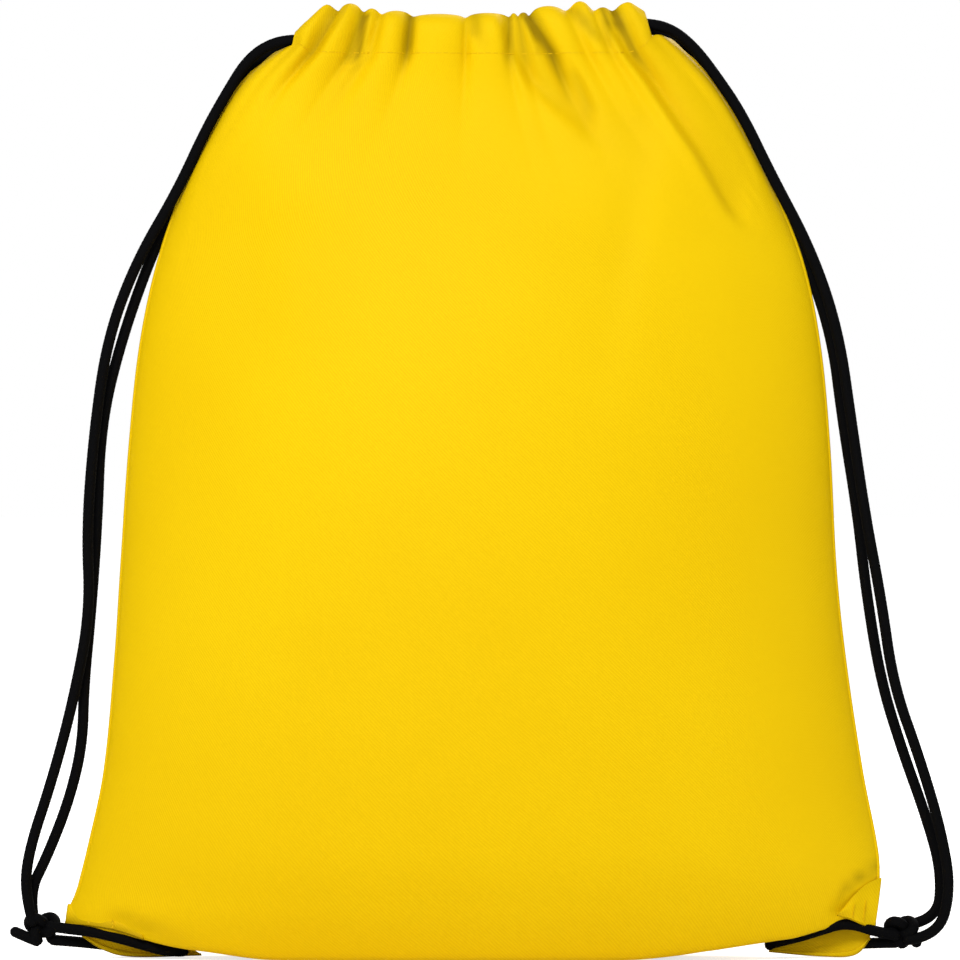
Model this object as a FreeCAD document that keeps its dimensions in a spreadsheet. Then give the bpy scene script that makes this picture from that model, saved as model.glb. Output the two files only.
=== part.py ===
import FreeCAD, Part
import math
import os
import re
import Sketcher

Vector = FreeCAD.Vector

# A drawstring backpack standing on its base, front towards -Y, millimetres.
# The origin is on the floor under the middle of the bag.

DRIVING = {
    "cloth": 1.6,               # thickness that stands for each gathered cloth wall
    "seam_half": 3.0,           # half the thickness of a side seam
    "seam_inside": 3.0,         # how far a seam lies between the panels' edges
    "seam_outside": 4.0,        # how far it stands out past them
    "cord_dia": 4.4,
    "hem_half": 73.0,           # half the gathered length of a hem
    "hem_inner": 6.0,           # hem faces, measured from the middle of the bag
    "hem_outer": 16.0,
    "hem_top": 394.0,
    "hem_round": 3.0,
    "tunnel_inner": 8.0,
    "tunnel_outer": 14.0,
    "tunnel_low": 374.0,
    "tunnel_high": 388.0,
    "turn_radius": 5.0,         # cord turning from one tunnel into the other
    "tab_root": 147.0,
    "tab_foot": 1.5,
    "tab_toe": 163.0,
    "tab_toe_height": 4.0,
    "tab_reach": 168.0,
    "tab_reach_height": 20.0,
    "tab_side": 164.0,
    "tab_head": 155.5,
    "tab_top": 44.0,
    "loop_start": 170.0,        # corner loop, from its open ends to its bend
    "loop_end": 147.5,
    "loop_low": 4.6,
    "loop_high": 13.5,
    "knot_reach": 178.0,
    "knot_height": 12.0,
    "knot_long": 7.5,
    "knot_deep": 6.5,
    "knot_tall": 7.0,
}

# Level name: height, half width and half depth of the bag there.
LEVELS = {
    "floor": (0.0, 138.0, 30.0),
    "corner": (22.0, 143.0, 42.0),
    "foot": (50.0, 154.0, 49.0),
    "low": (105.0, 147.0, 54.0),
    "belly": (157.0, 143.0, 55.0),
    "waist": (211.0, 140.0, 52.0),
    "chest": (253.0, 135.0, 45.0),
    "collar": (288.0, 125.0, 36.0),
    "shoulder": (319.0, 111.0, 27.0),
    "neck": (345.0, 96.0, 20.0),
    "rim": (370.0, 84.0, 16.0),
}
for level, (height, half_width, half_depth) in LEVELS.items():
    DRIVING[level + "_height"] = height
    DRIVING[level + "_width"] = half_width
    DRIVING[level + "_depth"] = half_depth

SIDES = {"left": -1, "right": 1}
FACES = {"front": -1, "back": 1}

doc = FreeCAD.newDocument("drawstring_backpack")
sheet = doc.addObject("Spreadsheet::Sheet", "dims")
for row, (alias, value) in enumerate(DRIVING.items(), start=1):
    sheet.set(f"A{row}", alias)
    sheet.set(f"B{row}", str(value))
    sheet.setAlias(f"B{row}", alias)
doc.recompute()

parts = {}


def bound(expression):
    """The expression with every alias pointed at the sheet."""
    return re.sub(r"[a-z][a-z_]*", lambda word: "dims." + word.group(), expression)


def size(expression):
    return float(sheet.evalExpression(bound(expression)))


# ---- sketch helpers ----

def new_body(name):
    body = doc.addObject("PartDesign::Body", name)
    body.Label = name
    parts[name] = body
    return body


def new_sketch(body, name, plane, offset="0"):
    sketch = body.newObject("Sketcher::SketchObject", name)
    for feature in body.Origin.OriginFeatures:
        if feature.Role == plane:
            sketch.AttachmentSupport = (feature, [""])
    sketch.MapMode = "FlatFace"
    if offset != "0":
        sketch.AttachmentOffset = FreeCAD.Placement(Vector(0, 0, size(offset)), FreeCAD.Rotation())
        sketch.setExpression("AttachmentOffset.Base.z", bound(offset))
    return sketch


def place(sketch, kind, geometry, point, expression):
    """Fix one coordinate of a point by its signed distance from the sketch's origin."""
    value = size(expression)
    if value >= 0:
        ends = (-1, 1, geometry, point)
    else:
        ends = (geometry, point, -1, 1)
        expression = f"-({expression})"
    index = sketch.addConstraint(Sketcher.Constraint(kind, *ends, abs(value)))
    sketch.setExpression(f"Constraints[{index}]", bound(expression))


def polygon(sketch, corners):
    """A closed polygon whose corners are pairs of expressions."""
    points = [Vector(size(across), size(up), 0) for across, up in corners]
    first = sketch.GeometryCount
    count = len(points)
    for i in range(count):
        sketch.addGeometry(Part.LineSegment(points[i], points[(i + 1) % count]), False)
    for i in range(count):
        following = first + (i + 1) % count
        sketch.addConstraint(Sketcher.Constraint("Coincident", first + i, 2, following, 1))
    for i, (across, up) in enumerate(corners):
        place(sketch, "DistanceX", first + i, 1, across)
        place(sketch, "DistanceY", first + i, 1, up)


def rectangle(sketch, left, right, low, high):
    polygon(sketch, [(left, low), (right, low), (right, high), (left, high)])


def bow(sketch, side, half_width, half_depth):
    """An arc bowed out from the seam's face, fixed by its radius and its centre."""
    rise = f"({half_depth} - seam_half)"
    radius = f"(({half_width})^2 + {rise}^2) / (2 * {rise})"
    centre = f"({side}) * ({half_depth} - {radius})"
    reach = size(half_width)
    centre_y = size(centre)
    end_y = side * size("seam_half")
    start = math.atan2(end_y - centre_y, reach * side)
    finish = math.atan2(end_y - centre_y, -reach * side)
    circle = Part.Circle(Vector(0, centre_y, 0), Vector(0, 0, 1), size(radius))
    index = sketch.addGeometry(Part.ArcOfCircle(circle, start, finish), False)
    sketch.addConstraint(Sketcher.Constraint("PointOnObject", index, 3, -2))
    datum = sketch.addConstraint(Sketcher.Constraint("Radius", index, size(radius)))
    sketch.setExpression(f"Constraints[{datum}]", bound(radius))
    place(sketch, "DistanceY", index, 3, centre)
    return index


def chord(sketch, arc_a, end_a, arc_b, end_b, side):
    """A level line along the seam's face between the ends of two arcs."""
    a = sketch.getPoint(arc_a, end_a)
    b = sketch.getPoint(arc_b, end_b)
    line = sketch.addGeometry(Part.LineSegment(a, b), False)
    sketch.addConstraint(Sketcher.Constraint("Coincident", arc_a, end_a, line, 1))
    sketch.addConstraint(Sketcher.Constraint("Coincident", arc_b, end_b, line, 2))
    sketch.addConstraint(Sketcher.Constraint("Horizontal", line))
    place(sketch, "DistanceY", line, 1, f"({side}) * seam_half")


def pad(body, sketch, length, name):
    feature = body.newObject("PartDesign::Pad", name)
    feature.Profile = sketch
    feature.setExpression("Length", bound(length))
    return feature


def loft(body, sketches, name):
    feature = body.newObject("PartDesign::AdditiveLoft", name)
    feature.Profile = sketches[0]
    feature.Sections = sketches[1:]
    feature.Ruled = True
    return feature


# ---- the two panels: a thin bowed wall and its half of the base ----

for face, side in FACES.items():
    panel = new_body(f"{face}_panel")
    crescents = []
    for level in LEVELS:
        outline = new_sketch(panel, f"{face}_{level}", "XY_Plane", f"{level}_height")
        outer = bow(outline, side, f"{level}_width", f"{level}_depth")
        inner = bow(outline, side, f"({level}_width - seam_inside)", f"({level}_depth - cloth)")
        chord(outline, outer, 1, inner, 1, side)
        chord(outline, outer, 2, inner, 2, side)
        crescents.append(outline)
    loft(panel, crescents, f"{face}_wall")
    base = new_sketch(panel, f"{face}_base_outline", "XY_Plane")
    edge = bow(base, side, "floor_width", "floor_depth")
    chord(base, edge, 2, edge, 1, side)
    pad(panel, base, "cloth", f"{face}_base")

# ---- seams: two up the sides above the corner slits, one under the bag ----

for hand, sign in SIDES.items():
    seam = new_body(f"{hand}_side_seam")
    sections = []
    for level in list(LEVELS)[1:]:
        outline = new_sketch(seam, f"{hand}_seam_{level}", "XY_Plane", f"{level}_height")
        rectangle(outline, f"({sign}) * ({level}_width - seam_inside)",
                  f"({sign}) * ({level}_width + seam_outside)", "-seam_half", "seam_half")
        sections.append(outline)
    loft(seam, sections, f"{hand}_seam_ridge")

bottom_seam = doc.addObject("Part::Box", "bottom_seam")
bottom_seam.setExpression("Length", bound("2 * floor_width"))
bottom_seam.setExpression("Width", bound("2 * seam_half"))
bottom_seam.setExpression("Height", bound("cloth"))
bottom_seam.setExpression("Placement.Base.x", bound("-floor_width"))
bottom_seam.setExpression("Placement.Base.y", bound("-seam_half"))
parts["bottom_seam"] = bottom_seam

# ---- hems: casings whose tunnels carry the cords ----

for face, side in FACES.items():
    hem = new_body(f"{face}_hem")
    outline = new_sketch(hem, f"{face}_hem_outline", "YZ_Plane")
    rectangle(outline, f"({side}) * hem_inner", f"({side}) * hem_outer", "rim_height", "hem_top")
    rectangle(outline, f"({side}) * tunnel_inner", f"({side}) * tunnel_outer",
              "tunnel_low", "tunnel_high")
    casing = pad(hem, outline, "2 * hem_half", f"{face}_casing")
    casing.Midplane = True
    doc.recompute()
    top_edges = []
    for number, edge in enumerate(casing.Shape.Edges, start=1):
        middle = edge.CenterOfMass
        if abs(middle.x) < 1e-6 and abs(middle.z - size("hem_top")) < 1e-6:
            top_edges.append(f"Edge{number}")
    rounding = hem.newObject("PartDesign::Fillet", f"{face}_hem_rounding")
    rounding.Base = (casing, top_edges)
    rounding.setExpression("Radius", bound("hem_round"))

# ---- corner tabs: flat cloth ears either side of the cord ----

TAB_OUTLINE = [
    ("tab_root", "tab_foot"),
    ("tab_toe", "tab_toe_height"),
    ("tab_reach", "tab_reach_height"),
    ("tab_side", "tab_top"),
    ("tab_head", "tab_top"),
    ("tab_root", "corner_height"),
]
# The plane's normal points to -Y, so a pad on it grows forwards.
TAB_OFFSET = {"front": "seam_half", "back": "-(seam_half + cloth)"}
for hand, sign in SIDES.items():
    for face in FACES:
        tab = new_body(f"{hand}_{face}_tab")
        outline = new_sketch(tab, f"{hand}_{face}_tab_outline", "XZ_Plane", TAB_OFFSET[face])
        polygon(outline, [(f"({sign}) * {across}", up) for across, up in TAB_OUTLINE])
        pad(tab, outline, "cloth", f"{hand}_{face}_tab_pad")

# ---- threads: rows of hem stitches and the bartacks that close the tabs ----

STITCH_LONG = 3.0
STITCH_PITCH = 4.5
STITCH_TALL = 0.7
STITCH_PROUD = 0.4
STITCH_HEIGHT = 372.0
BARTACK_ACROSS = 2.0
BARTACK_TALL = 9.0
BARTACK_CENTRE = (160.0, 33.0)


def thread_node(name, boxes):
    node = doc.addObject("Part::Feature", name)
    node.Shape = Part.makeCompound(boxes)
    parts[name] = node


for face, side in FACES.items():
    stitches = []
    count = int(2 * size("hem_half") / STITCH_PITCH)
    start_y = min(side * size("hem_outer"), side * (size("hem_outer") + STITCH_PROUD))
    for i in range(count):
        middle = (i - (count - 1) / 2) * STITCH_PITCH
        corner = Vector(middle - STITCH_LONG / 2, start_y, STITCH_HEIGHT)
        stitches.append(Part.makeBox(STITCH_LONG, STITCH_PROUD, STITCH_TALL, corner))
    thread_node(f"{face}_hem_stitching", stitches)

bartacks = []
for sign in SIDES.values():
    for side in FACES.values():
        tab_face = size("seam_half + cloth")
        start_y = min(side * tab_face, side * (tab_face + STITCH_PROUD))
        corner = Vector(sign * BARTACK_CENTRE[0] - BARTACK_ACROSS / 2, start_y,
                        BARTACK_CENTRE[1] - BARTACK_TALL / 2)
        bartacks.append(Part.makeBox(BARTACK_ACROSS, STITCH_PROUD, BARTACK_TALL, corner))
thread_node("corner_bartacks", bartacks)

# ---- cords ----

ARC_SHARE = 0.45            # share of the shorter run that an arc may use


def cord_path(name, route, tight=()):
    """Straight runs joined by tangent arcs; the points listed in tight have a set radius."""
    points = [Vector(*point) for point in route]
    edges = []
    radii = []
    here = points[0]
    for i in range(1, len(points) - 1):
        back = points[i - 1] - points[i]
        ahead = points[i + 1] - points[i]
        half_turn = (math.pi - back.getAngle(ahead)) / 2
        radius = ARC_SHARE * min(back.Length, ahead.Length) / math.tan(half_turn)
        if i in tight:
            radius = tight[i]
        tangent = radius * math.tan(half_turn)
        back.normalize()
        ahead.normalize()
        start = points[i] + back * tangent
        finish = points[i] + ahead * tangent
        bisector = back + ahead
        bisector.normalize()
        crown = points[i] + bisector * (radius / math.cos(half_turn) - radius)
        edges.append(Part.LineSegment(here, start).toShape())
        edges.append(Part.Arc(start, crown, finish).toShape())
        radii.append(round(radius, 1))
        here = finish
    edges.append(Part.LineSegment(here, points[-1]).toShape())
    print(name, "radii", radii)
    return Part.Wire(edges)


def cord_node(name, route, tight=()):
    path = cord_path(name, route, tight)
    direction = Vector(*route[1]) - Vector(*route[0])
    section = Part.Wire(Part.Circle(Vector(*route[0]), direction, size("cord_dia") / 2).toShape())
    tube = path.makePipeShell([section], True, True)
    expected = math.pi * (size("cord_dia") / 2) ** 2 * path.Length
    print(name, "length", round(path.Length, 1), "volume ratio", round(tube.Volume / expected, 4))
    if abs(tube.Volume / expected - 1) > 0.01:
        raise ValueError(name + " did not sweep cleanly")
    node = doc.addObject("Part::Feature", name)
    node.Shape = tube
    parts[name] = node


# Each cord leaves its tunnels at its own side and turns back at the other.
TUNNEL_HEIGHT = {"left": 377.0, "right": 385.0}
EXIT_SLOPE = {
    "left": [(92.5, 3.0, 368.5), (83.5, 7.0, 375.5), (73.5, 11.0, 377.0)],
    "right": [(92.5, 3.0, 373.5), (84.0, 7.0, 382.5), (73.5, 11.0, 385.0)],
}
TURN_REACH = 76.0
for hand, sign in SIDES.items():
    height = TUNNEL_HEIGHT[hand]
    across = EXIT_SLOPE[hand][-1][1]
    front_run = [(sign * x, -y, z) for x, y, z in EXIT_SLOPE[hand]]
    back_run = [(sign * x, y, z) for x, y, z in reversed(EXIT_SLOPE[hand])]
    turn = [(-sign * TURN_REACH, -across, height), (-sign * TURN_REACH, across, height)]
    radius = size("turn_radius")
    cord_node(f"{hand}_tunnel_cord", front_run + turn + back_run, {3: radius, 4: radius})

# Strap strands, from below the hem's end to the knot at the corner.
LEFT_STRAP_FRONT = [
    (-100, -3, 360), (-110.5, -3, 344.5), (-124, -3, 319), (-138.5, -3, 288), (-149.5, -3, 255),
    (-156.5, -3, 214), (-160, -3, 171), (-161.5, -3, 134), (-167, -3, 97), (-176, -3, 65),
    (-184, -3, 38), (-180.5, -2.6, 15),
]
LEFT_STRAP_BACK = [
    (-100, 3, 360), (-110, 3, 344.5), (-122.5, 3, 318), (-137, 3, 287), (-147.5, 3, 253),
    (-154, 3, 215), (-155.5, 3, 173), (-157, 3, 138), (-160.5, 3, 101), (-167.5, 3, 69),
    (-177, 3, 43), (-177.5, 2.6, 15),
]
RIGHT_STRAP_FRONT = [
    (98, -3, 367), (110, -3, 348), (124, -3, 321), (138.5, -3, 291), (149, -3, 257),
    (155.5, -3, 218), (161, -3, 181), (167, -3, 147), (173, -3, 112), (184, -3, 82),
    (193, -3, 53), (197.5, -3, 28), (190, -3, 9), (180, -2.6, 8.6),
]
RIGHT_STRAP_BACK = [
    (98, 3, 367), (109, 3, 347), (122.5, 3, 320), (137, 3, 290), (147, 3, 256),
    (153, 3, 218), (157.5, 3, 183), (161.5, 3, 150), (166, 3, 117), (176, 3, 86),
    (186, 3, 58), (191.5, 3, 35), (179.5, 2.6, 15),
]
cord_node("left_strap_front", LEFT_STRAP_FRONT)
cord_node("left_strap_back", LEFT_STRAP_BACK)
cord_node("right_strap_front", RIGHT_STRAP_FRONT)
cord_node("right_strap_back", RIGHT_STRAP_BACK)

# The cord doubled back between the tabs, through the slit at the corner.
for hand, sign in SIDES.items():
    start = sign * size("loop_start")
    bend = sign * size("loop_end")
    low = size("loop_low")
    high = size("loop_high")
    radius = (high - low) / 2 - 0.02
    route = [(start, 0, high), (bend, 0, high), (bend, 0, low), (start, 0, low)]
    cord_node(f"{hand}_corner_loop", route, {1: radius, 2: radius})

# ---- knots: a lump with the tail that comes out of it ----

TAILS = {"left": (Vector(-1, 0, -0.05), 14.0), "right": (Vector(0.6, -0.75, 0.3), 11.0)}
for hand, sign in SIDES.items():
    lump = doc.addObject("Part::Ellipsoid", f"{hand}_knot_lump")
    lump.setExpression("Radius1", bound("knot_tall"))
    lump.setExpression("Radius2", bound("knot_long"))
    lump.setExpression("Radius3", bound("knot_deep"))
    lump.setExpression("Placement.Base.x", bound(f"({sign}) * knot_reach"))
    lump.setExpression("Placement.Base.z", bound("knot_height"))
    direction, length = TAILS[hand]
    tail = doc.addObject("Part::Cylinder", f"{hand}_knot_tail")
    tail.setExpression("Radius", bound("cord_dia / 2"))
    tail.Height = length
    tail.Placement.Rotation = FreeCAD.Rotation(Vector(0, 0, 1), direction)
    tail.setExpression("Placement.Base.x", bound(f"({sign}) * knot_reach"))
    tail.setExpression("Placement.Base.z", bound("knot_height"))
    knot = doc.addObject("Part::MultiFuse", f"{hand}_knot")
    knot.Shapes = [lump, tail]
    parts[f"{hand}_knot"] = knot

# ---- checks and export ----

doc.recompute()
for item in doc.Objects:
    if "Invalid" in item.State or "Error" in item.State:
        raise ValueError(f"{item.Name} failed: {item.State}")

os.makedirs("parts", exist_ok=True)
for name, node in parts.items():
    node.Label = name
    if node.Shape.isNull() or not node.Shape.isValid():
        raise ValueError(name + " has no valid shape")
for name, node in parts.items():
    node.Shape.exportStep(f"parts/{name}.step")
print(len(parts), "parts written")
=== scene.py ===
import math

import bmesh
import bpy
import numpy as np
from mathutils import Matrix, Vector


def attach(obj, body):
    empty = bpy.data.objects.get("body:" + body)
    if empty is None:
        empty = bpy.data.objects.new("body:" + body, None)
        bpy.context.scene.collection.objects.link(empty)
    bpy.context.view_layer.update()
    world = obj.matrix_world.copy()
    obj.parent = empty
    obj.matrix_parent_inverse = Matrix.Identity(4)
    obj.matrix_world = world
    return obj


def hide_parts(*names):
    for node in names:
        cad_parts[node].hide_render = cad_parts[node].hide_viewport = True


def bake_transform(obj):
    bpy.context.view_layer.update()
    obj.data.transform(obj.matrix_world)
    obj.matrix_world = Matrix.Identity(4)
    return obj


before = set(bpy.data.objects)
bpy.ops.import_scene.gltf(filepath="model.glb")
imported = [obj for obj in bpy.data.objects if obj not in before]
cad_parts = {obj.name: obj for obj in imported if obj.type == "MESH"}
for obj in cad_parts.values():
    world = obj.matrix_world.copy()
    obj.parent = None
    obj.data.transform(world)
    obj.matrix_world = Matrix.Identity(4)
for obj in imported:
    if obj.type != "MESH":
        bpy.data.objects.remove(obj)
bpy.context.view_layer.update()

MM = 0.001

# ---------------------------------------------------------------------------
# The studio: a wide pale floor, soft light from in front and behind, and a long
# lens level with the middle of the bag, so its outline stays nearly parallel.

scene = bpy.context.scene
scene.view_settings.view_transform = "Standard"

VIEW_CENTRE = (2.9 * MM, 0.0, 197.0 * MM)
VIEW_WIDTH = 395.5 * MM
CAMERA_BACK = 2.6

camera_data = bpy.data.cameras.new("studio_camera")
camera_data.sensor_width = 36.0
camera_data.lens = camera_data.sensor_width * CAMERA_BACK / VIEW_WIDTH
camera_data.clip_end = 100.0
camera = bpy.data.objects.new("studio_camera", camera_data)
camera.location = (VIEW_CENTRE[0], -CAMERA_BACK, VIEW_CENTRE[2])
camera.rotation_euler = (math.radians(90.0), 0.0, 0.0)
scene.collection.objects.link(camera)
scene.camera = camera


def mesh_piece(name, points, faces, material):
    """An object of smooth faces in the one material."""
    mesh = bpy.data.meshes.new(name)
    mesh.from_pydata(points, [], faces)
    mesh.polygons.foreach_set("use_smooth", [True] * len(mesh.polygons))
    mesh.materials.append(material)
    piece = bpy.data.objects.new(name, mesh)
    scene.collection.objects.link(piece)
    return piece


FLOOR_HALF = 30.0
pale_floor = bpy.data.materials.new("pale_floor")
pale_floor.use_nodes = True
floor_tree = pale_floor.node_tree
floor_glow = floor_tree.nodes.new("ShaderNodeMapRange")
floor_glow.inputs["To Max"].default_value = 0.72
floor_tree.links.new(floor_tree.nodes.new("ShaderNodeLightPath").outputs["Is Camera Ray"],
                     floor_glow.inputs["Value"])
floor_shader = floor_tree.nodes["Principled BSDF"]
floor_shader.inputs["Base Color"].default_value = (0.93, 0.93, 0.93, 1.0)
floor_shader.inputs["Roughness"].default_value = 0.9
floor_shader.inputs["Emission Color"].default_value = (1.0, 1.0, 1.0, 1.0)
floor_tree.links.new(floor_glow.outputs["Result"], floor_shader.inputs["Emission Strength"])
floor = mesh_piece(
    "studio_floor",
    [(-FLOOR_HALF, -FLOOR_HALF, 0), (FLOOR_HALF, -FLOOR_HALF, 0),
     (FLOOR_HALF, FLOOR_HALF, 0), (-FLOOR_HALF, FLOOR_HALF, 0)],
    [(0, 1, 2, 3)], pale_floor)

world = bpy.data.worlds.new("studio_air")
world.use_nodes = True
air = world.node_tree.nodes["Background"]
air.inputs["Color"].default_value = (1.0, 1.0, 1.0, 1.0)
# The air looks white, and lights the bag less than that so its folds keep their shade.
seen = world.node_tree.nodes.new("ShaderNodeLightPath")
strength = world.node_tree.nodes.new("ShaderNodeMapRange")
strength.inputs["To Min"].default_value = 0.42
strength.inputs["To Max"].default_value = 1.0
world.node_tree.links.new(seen.outputs["Is Camera Ray"], strength.inputs["Value"])
world.node_tree.links.new(strength.outputs["Result"], air.inputs["Strength"])
scene.world = world

LIGHTS_AIM = Vector((0.0, 0.0, 0.2))
# Name, place, edge length and power of each soft box.
SOFT_BOXES = [
    ("key_light", (-0.4, -1.75, 1.4), 0.7, 27.5),
    ("back_light", (0.9, 1.7, 1.7), 1.3, 30.0),
]
for name, place, edge, power in SOFT_BOXES:
    light_data = bpy.data.lights.new(name, "AREA")
    light_data.size = edge
    light_data.energy = power
    light = bpy.data.objects.new(name, light_data)
    light.location = place
    light.rotation_euler = (LIGHTS_AIM - Vector(place)).to_track_quat("-Z", "Y").to_euler()
    scene.collection.objects.link(light)


# ---------------------------------------------------------------------------
# Cord: a 4.4 mm round braid of black polyester, plaited on a machine from two
# sets of yarn bundles that pass over and under each other in a herringbone.

CORD_DIAMETER = 4.4 * MM
BRAID_BUNDLES = 8
BRAID_PITCH = 7.5 * MM
BRAID_RELIEF = 0.20 * MM
BRAID_AROUND = 32
BRAID_STEP = 0.55 * MM
FILAMENTS = 26              # stripes of yarn round the cord


def linked(tree, kind, settings=None, values=None, **links):
    """A node with its settings and values, whose inputs come from other nodes' sockets."""
    node = tree.nodes.new(kind)
    for name, value in (settings or {}).items():
        setattr(node, name, value)
    for name, value in (values or {}).items():
        node.inputs[name].default_value = value
    for name, source in links.items():
        key = int(name[1:]) if name[1:].isdigit() else name.replace("_", " ")
        tree.links.new(source, node.inputs[key])
    return node


def math_node(tree, operation, *values):
    node = tree.nodes.new("ShaderNodeMath")
    node.operation = operation
    for socket, value in zip(node.inputs, values):
        if isinstance(value, (int, float)):
            socket.default_value = value
        else:
            tree.links.new(value, socket)
    return node.outputs[0]


def weighted(tree, *terms):
    """The sum of sockets, each times its weight."""
    shares = [math_node(tree, "MULTIPLY", socket, weight) for socket, weight in terms]
    total = shares[0]
    for share in shares[1:]:
        total = math_node(tree, "ADD", total, share)
    return total


def new_material(name, specular):
    material = bpy.data.materials.new(name)
    material.use_nodes = True
    shader = material.node_tree.nodes["Principled BSDF"]
    shader.inputs["Specular IOR Level"].default_value = specular
    return material, material.node_tree, shader


def toned(tree, tone, dark, light, places=(0.0, 1.0)):
    """A colour between dark and light, as the tone has it."""
    ramp = linked(tree, "ShaderNodeValToRGB", Fac=tone)
    for element, place, colour in zip(ramp.color_ramp.elements, places, (dark, light)):
        element.position = place
        element.color = (*colour, 1.0)
    return ramp.outputs["Color"]


def surface(tree, shader, colour, tone, rough, relief, strength, distance):
    """Colour, a roughness that follows the tone, and a fine relief, put into the shader."""
    tree.links.new(colour, shader.inputs["Base Color"])
    matt = linked(tree, "ShaderNodeMapRange", values={"To Min": rough[0], "To Max": rough[1]},
                  Value=tone)
    tree.links.new(matt.outputs["Result"], shader.inputs["Roughness"])
    bump = linked(tree, "ShaderNodeBump", values={"Strength": strength, "Distance": distance},
                  Height=relief)
    tree.links.new(bump.outputs["Normal"], shader.inputs["Normal"])


def cord_material():
    material, tree, shader = new_material("black_braid", 0.03)
    uv = linked(tree, "ShaderNodeUVMap", settings={"uv_map": "cord_uv"})
    parts = linked(tree, "ShaderNodeSeparateXYZ", Vector=uv.outputs["UV"])
    # Fine filaments lie along each bundle: stripes that follow the length.
    yarn = math_node(tree, "SINE", weighted(
        tree, (parts.outputs["X"], 2 * math.pi * FILAMENTS),
        (parts.outputs["Y"], 2 * math.pi / BRAID_PITCH)))
    noise = linked(tree, "ShaderNodeTexNoise", values={"Scale": 900.0, "Detail": 2.0},
                   Vector=linked(tree, "ShaderNodeTexCoord").outputs["Object"])
    tone = math_node(tree, "MULTIPLY_ADD", yarn, 0.25, 0.5)
    mixed = math_node(tree, "ADD", tone, math_node(tree, "MULTIPLY", noise.outputs["Fac"], 0.4))
    black = toned(tree, mixed, (0.0008, 0.0008, 0.001), (0.004, 0.004, 0.0045))
    surface(tree, shader, black, mixed, (0.55, 0.85), mixed, 0.5, 0.0001)
    return material


BLACK_BRAID = cord_material()


def spline_points(route):
    """The smooth line of a NURBS spline whose control points are the route, in metres."""
    curve = bpy.data.curves.new("route", "CURVE")
    curve.dimensions = "3D"
    curve.resolution_u = 24
    spline = curve.splines.new("NURBS")
    spline.points.add(len(route) - 1)
    for point, (x, y, z) in zip(spline.points, route):
        point.co = (x * MM, y * MM, z * MM, 1.0)
    spline.order_u = 3
    spline.use_endpoint_u = True
    holder = bpy.data.objects.new("route", curve)
    scene.collection.objects.link(holder)
    bpy.context.view_layer.update()
    line = bpy.data.meshes.new_from_object(
        holder.evaluated_get(bpy.context.evaluated_depsgraph_get()))
    points = np.array([v.co for v in line.vertices])
    bpy.data.objects.remove(holder)
    bpy.data.curves.remove(curve)
    bpy.data.meshes.remove(line)
    return points


def even_points(points, step):
    lengths = np.concatenate([[0], np.cumsum(np.linalg.norm(np.diff(points, axis=0), axis=1))])
    count = max(2, int(round(lengths[-1] / step)) + 1)
    places = np.linspace(0, lengths[-1], count)
    return np.stack([np.interp(places, lengths, points[:, i]) for i in range(3)], axis=1), places


def braid_height(around, along):
    """Height of the plait, 0 to 1, where bundles of the two hands cross."""
    right = BRAID_BUNDLES * around + along / BRAID_PITCH * BRAID_BUNDLES / 2
    left = BRAID_BUNDLES * around - along / BRAID_PITCH * BRAID_BUNDLES / 2
    over = (np.floor(right) + np.floor(left)) % 2 == 0
    return np.where(over, np.abs(np.sin(np.pi * right)), np.abs(np.sin(np.pi * left))) ** 0.7


def braided_cord(name, route):
    """A closed tube along the route with the braid's relief in its surface."""
    points, places = even_points(spline_points(route), BRAID_STEP)
    tangents = np.gradient(points, axis=0)
    tangents /= np.linalg.norm(tangents, axis=1)[:, None]
    normal = np.cross(tangents[0], (0.0, 1.0, 0.02))
    normal /= np.linalg.norm(normal)
    angles = 2 * np.pi * np.arange(BRAID_AROUND) / BRAID_AROUND
    total = places[-1]
    rings = []
    for point, tangent, along in zip(points, tangents, places):
        normal = normal - tangent * normal.dot(tangent)
        normal /= np.linalg.norm(normal)
        side = np.cross(tangent, normal)
        height = braid_height(angles / (2 * np.pi), along)
        radius = CORD_DIAMETER / 2 + BRAID_RELIEF * (height - 0.6)
        close = min(along, total - along) / (CORD_DIAMETER / 2)
        if close < 1:
            radius = radius * math.sqrt(max(1 - (1 - close) ** 2, 0.02))
        rings.append(point + radius[:, None] * (np.cos(angles)[:, None] * normal
                                                + np.sin(angles)[:, None] * side))
    ring_count = len(rings)
    vertices = np.concatenate(rings + [points[:1], points[-1:]])
    faces = []
    for i in range(ring_count - 1):
        for j in range(BRAID_AROUND):
            k = (j + 1) % BRAID_AROUND
            faces.append((i * BRAID_AROUND + j, i * BRAID_AROUND + k,
                          (i + 1) * BRAID_AROUND + k, (i + 1) * BRAID_AROUND + j))
    first, last = ring_count * BRAID_AROUND, ring_count * BRAID_AROUND + 1
    end = (ring_count - 1) * BRAID_AROUND
    for j in range(BRAID_AROUND):
        k = (j + 1) % BRAID_AROUND
        faces.append((first, k, j))
        faces.append((last, end + j, end + k))
    cord = mesh_piece(name, vertices.tolist(), faces, BLACK_BRAID)
    mesh = cord.data
    uv = mesh.uv_layers.new(name="cord_uv")
    for polygon in mesh.polygons:
        corners = list(polygon.loop_indices)
        columns = [mesh.loops[c].vertex_index % BRAID_AROUND for c in corners]
        wraps = max(columns) - min(columns) > BRAID_AROUND / 2
        for corner, column in zip(corners, columns):
            ring = min(mesh.loops[corner].vertex_index // BRAID_AROUND, ring_count - 1)
            if wraps and column == 0:
                column = BRAID_AROUND
            uv.data[corner].uv = (column / BRAID_AROUND, places[ring])
    return cord, points, total


# ---------------------------------------------------------------------------
# The shoulder straps: two cords, each with both ends at its own bottom corner.
# Each leaves the hem's end as two strands that hang down the side to a knot.

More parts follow.
